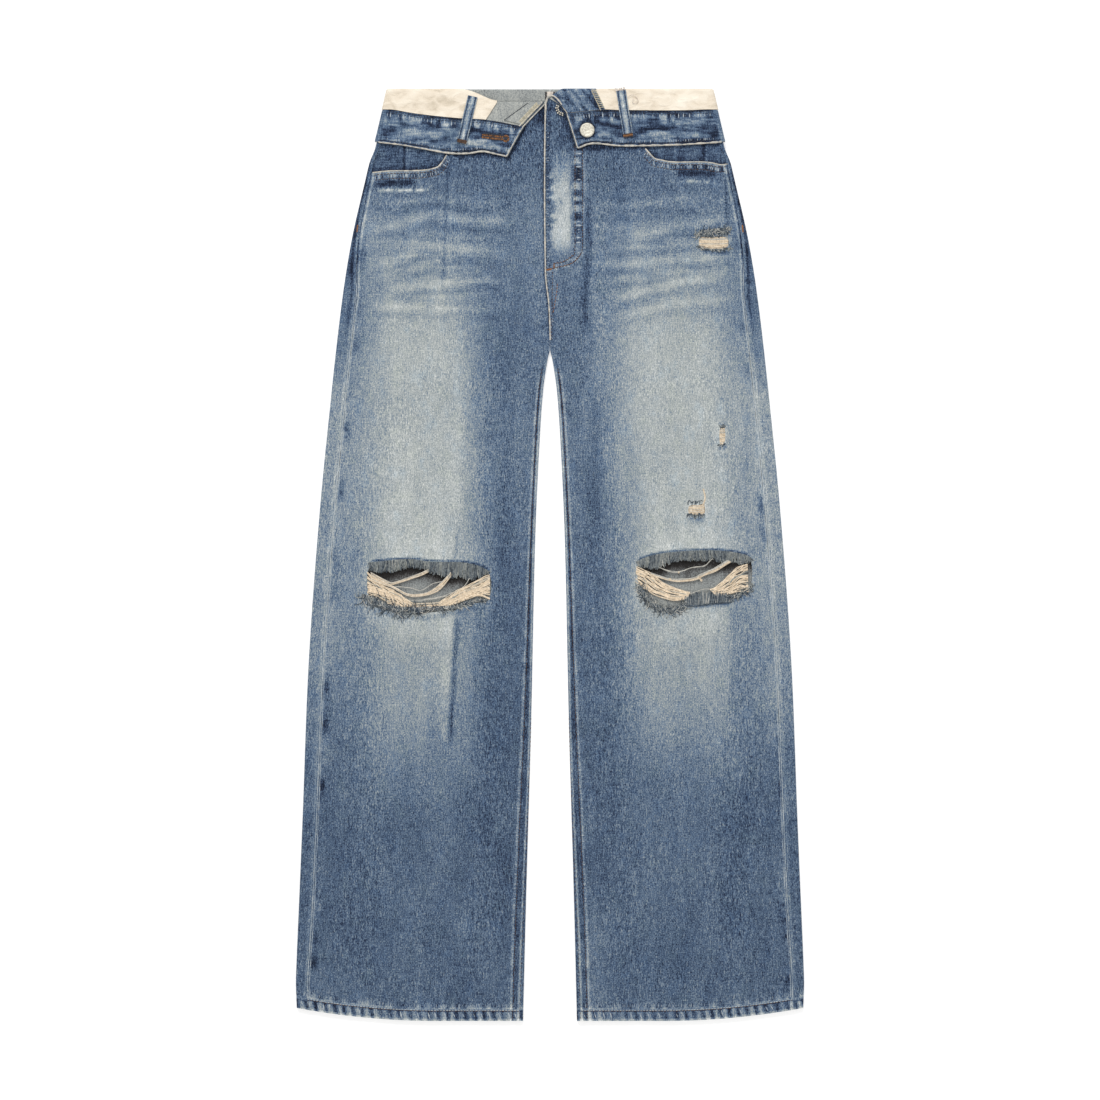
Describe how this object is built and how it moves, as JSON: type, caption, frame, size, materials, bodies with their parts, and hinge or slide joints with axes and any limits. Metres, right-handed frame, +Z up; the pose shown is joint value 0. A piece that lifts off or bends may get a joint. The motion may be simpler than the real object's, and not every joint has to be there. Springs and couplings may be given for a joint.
{
  "type": "ripped jeans",
  "caption": "Wide-leg ripped denim jeans lying flat on their back, the waist turned down outwards with the fly open, frayed at both knees.",
  "frame": {"origin": "centre of the garment's box in X and Y, at the level of the surface it lies on", "axes": "+X to the right of someone looking at the front, +Y along the legs towards the waist, +Z up out of the front"},
  "size_m": [0.5832, 1.0701, 0.0143],
  "materials": {
    "denim": "stone-washed indigo twill, faded on the thighs and knees",
    "waist_denim": "darker indigo twill, puckered along its seams",
    "pocketing": "unbleached plain-woven cotton",
    "metal": "worn antique silver"
  },
  "bodies": {
    "root": {"front_left": "denim", "front_right": "denim", "back_left": "denim", "back_right": "denim", "yoke_left": "denim", "yoke_right": "denim", "pocket_bag_left": "pocketing", "pocket_bag_right": "pocketing", "pocket_facing_left": "denim", "pocket_facing_right": "denim", "back_pocket_left": "denim", "back_pocket_right": "denim", "waistband": "waist_denim", "fly_facing": "waist_denim", "fly_shield": "waist_denim", "belt_loop_front_left": "waist_denim", "belt_loop_front_right": "waist_denim", "belt_loop_back_left": "waist_denim", "belt_loop_back_centre": "waist_denim", "belt_loop_back_right": "waist_denim", "button": "metal", "zip_slider": "metal"}
  },
  "joints": []
}
